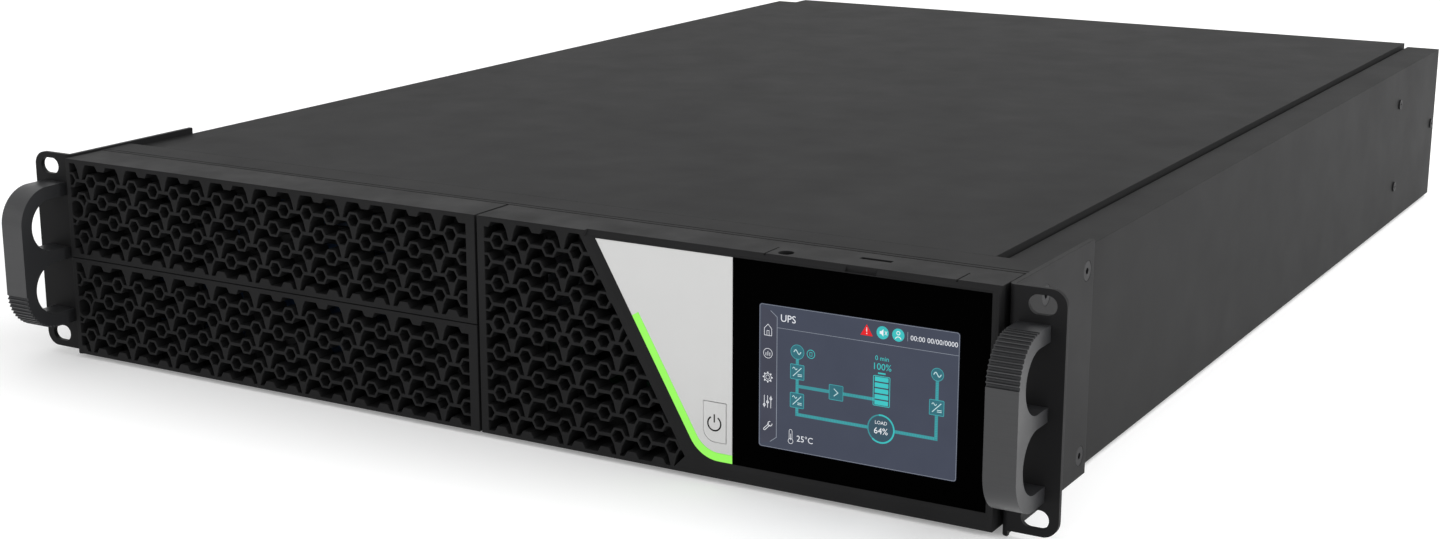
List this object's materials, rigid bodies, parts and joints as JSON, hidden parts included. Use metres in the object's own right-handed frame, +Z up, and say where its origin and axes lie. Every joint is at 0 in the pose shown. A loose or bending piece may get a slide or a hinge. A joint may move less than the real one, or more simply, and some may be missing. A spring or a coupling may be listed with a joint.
{
  "type": "rack-mounted uninterruptible power supply",
  "caption": "Low rack-mounted uninterruptible power supply with pull handles, slotted rack ears, battery drawers behind honeycomb doors, and a glass-fronted status display.",
  "frame": {"origin": "centre of the pattern of slots in the rack ears, on the ears' rear (mounting) face", "axes": "+X to the right of a person facing the front, +Y back into the rack, +Z up"},
  "size_m": [0.4826, 0.6851, 0.0904],
  "materials": {
    "case_coat": "fine matt powder coat, dark charcoal",
    "ear_coat": "fine matt powder coat, near black",
    "inner_steel": "bare zinc-plated sheet",
    "handle_alloy": "dark anodised, brushed",
    "dark_screw": "black oxide",
    "plain_screw": "zinc plated",
    "panel_plastic": "moulded, fine matt grain",
    "silver_plastic": "satin silver lacquer",
    "lime_plastic": "translucent bright green",
    "display_black": "polished black glass",
    "screen": "colour display",
    "board_green": "solder mask",
    "black_moulding": "moulded, matt",
    "white_moulding": "moulded, matt",
    "fin_aluminium": "extruded, bare",
    "cell_sleeve": "cell can with a printed sleeve",
    "can_sleeve": "shrink sleeve",
    "copper_wire": "enamelled copper",
    "core_iron": "lacquered laminations",
    "rubber": "moulded rubber",
    "wire_chrome": "bright plated wire",
    "stud_brass": "bare brass",
    "port_plate": "nickel plated"
  },
  "bodies": {
    "chassis": {"chassis_base": "case_coat", "top_cover": "case_coat", "front_frame": "case_coat", "rear_panel": "case_coat", "rubber_feet": "rubber", "rack_ear_left": "ear_coat", "rack_ear_right": "ear_coat", "rack_handle_left": "handle_alloy", "rack_handle_right": "handle_alloy", "handle_screws": "dark_screw", "ear_screws": "dark_screw", "side_screws": "dark_screw", "bay_divider": "inner_steel", "drawer_shelf": "inner_steel", "battery_backplane": "board_green", "display_bezel": "panel_plastic", "bezel_screws": "plain_screw", "light_bar": "lime_plastic", "fascia_panel": "silver_plastic", "display_glass": "display_black", "lcd_module": "screen", "panel_board": "board_green", "button_switch": "black_moulding", "power_board": "board_green", "inverter_heatsink": "fin_aluminium", "rectifier_heatsink": "fin_aluminium", "capacitor_bank": "can_sleeve", "inductor_coils": "copper_wire", "transformer": "core_iron", "control_board": "board_green", "fan_frame_left": "black_moulding", "fan_frame_right": "black_moulding", "fan_guards": "wire_chrome", "fan_screws": "plain_screw", "outlet_sockets": "black_moulding", "heavy_outlet": "black_moulding", "inlet_socket": "black_moulding", "battery_link_socket": "black_moulding", "breaker_body": "black_moulding", "card_slot_cover": "case_coat", "card_cover_screws": "plain_screw", "data_ports": "port_plate", "shutdown_terminal": "black_moulding", "ground_stud": "stud_brass"},
    "lower_drawer": {"battery_door_lower": "panel_plastic", "battery_tray_lower": "case_coat", "battery_cells_lower": "cell_sleeve", "battery_board_lower": "board_green", "battery_plug_lower": "black_moulding", "drawer_screw_lower": "plain_screw"},
    "upper_drawer": {"battery_door_upper": "panel_plastic", "battery_tray_upper": "case_coat", "battery_cells_upper": "cell_sleeve", "battery_board_upper": "board_green", "battery_plug_upper": "black_moulding", "drawer_screw_upper": "plain_screw"},
    "power_key": {"power_button": "silver_plastic"},
    "breaker_key": {"breaker_button": "white_moulding"},
    "left_rotor": {"fan_rotor_left": "black_moulding"},
    "right_rotor": {"fan_rotor_right": "black_moulding"}
  },
  "joints": [
    {"name": "lower_drawer_slide", "type": "slide", "parent": "chassis", "child": "lower_drawer", "axis": [0, -1, 0], "range_m": [0, 0.36]},
    {"name": "upper_drawer_slide", "type": "slide", "parent": "chassis", "child": "upper_drawer", "axis": [0, -1, 0], "range_m": [0, 0.36]},
    {"name": "power_key_press", "type": "slide", "parent": "chassis", "child": "power_key", "axis": [0, 1, 0], "range_m": [0, 0.0008], "stiffness_N_per_m": 900, "springref_m": -0.0005},
    {"name": "breaker_key_travel", "type": "slide", "parent": "chassis", "child": "breaker_key", "axis": [0, 1, 0], "range_m": [0, 0.004]},
    {"name": "left_rotor_spin", "type": "hinge", "parent": "chassis", "child": "left_rotor", "pos_m": [-0.168, 0.624, -0.00145], "axis": [0, 1, 0], "continuous": true},
    {"name": "right_rotor_spin", "type": "hinge", "parent": "chassis", "child": "right_rotor", "pos_m": [-0.08, 0.624, -0.00145], "axis": [0, 1, 0], "continuous": true}
  ]
}
